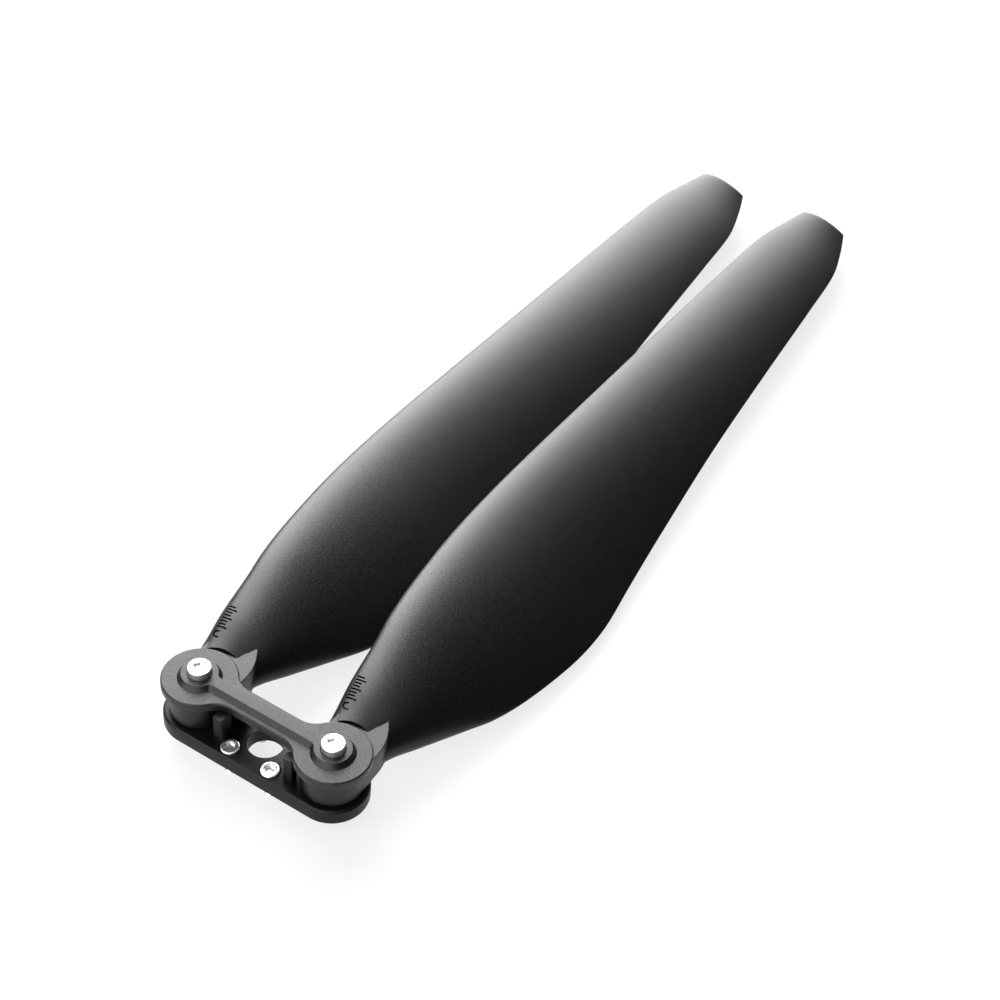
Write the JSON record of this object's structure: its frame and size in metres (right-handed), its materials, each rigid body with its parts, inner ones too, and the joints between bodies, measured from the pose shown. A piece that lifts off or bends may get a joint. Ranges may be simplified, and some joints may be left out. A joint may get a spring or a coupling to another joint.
{
  "type": "folding propeller",
  "caption": "Folding drone propeller: slender twisted dark blades turn on bolts between a round-ended base plate and a ridged cover, shown folded side by side.",
  "frame": {"origin": "centre of the motor pilot hole, in the hub's lower (motor) face", "axes": "+Z along the spin axis, away from the motor; +X through both blade pivots; +Y along the folded blades"},
  "size_m": [0.0822, 0.2949, 0.0214],
  "materials": {
    "base_plate": "matt, finely grained fibre-filled nylon",
    "cover_plate": "matt, finely grained fibre-filled nylon",
    "blade": "satin, finely grained carbon-filled nylon",
    "bush": "satin",
    "sleeve": "ground",
    "washer": "smooth low-friction plastic",
    "pivot_bolt": "bright stainless",
    "nut": "bright stainless",
    "mount_screw": "bright stainless"
  },
  "bodies": {
    "hub": {"hub_base": "base_plate", "hub_cover": "cover_plate", "pivot_sleeve_right": "sleeve", "pivot_sleeve_left": "sleeve", "thrust_washer_top_right": "washer", "thrust_washer_top_left": "washer", "thrust_washer_bottom_right": "washer", "thrust_washer_bottom_left": "washer", "pivot_bolt_right": "pivot_bolt", "pivot_bolt_left": "pivot_bolt", "pivot_nut_right": "nut", "pivot_nut_left": "nut", "mount_screw_front_right": "mount_screw", "mount_screw_front_left": "mount_screw", "mount_screw_rear_right": "mount_screw", "mount_screw_rear_left": "mount_screw"},
    "right_blade": {"blade_right": "blade", "blade_bush_right": "bush"},
    "left_blade": {"blade_left": "blade", "blade_bush_left": "bush"}
  },
  "joints": [
    {"name": "right_blade_fold", "type": "hinge", "parent": "hub", "child": "right_blade", "pos_m": [0.01875, 0, 0.00795], "axis": [0, 0, 1], "range_deg": [-165, 0]},
    {"name": "left_blade_fold", "type": "hinge", "parent": "hub", "child": "left_blade", "pos_m": [-0.01875, 0, 0.00795], "axis": [0, 0, 1], "range_deg": [0, 165]}
  ]
}
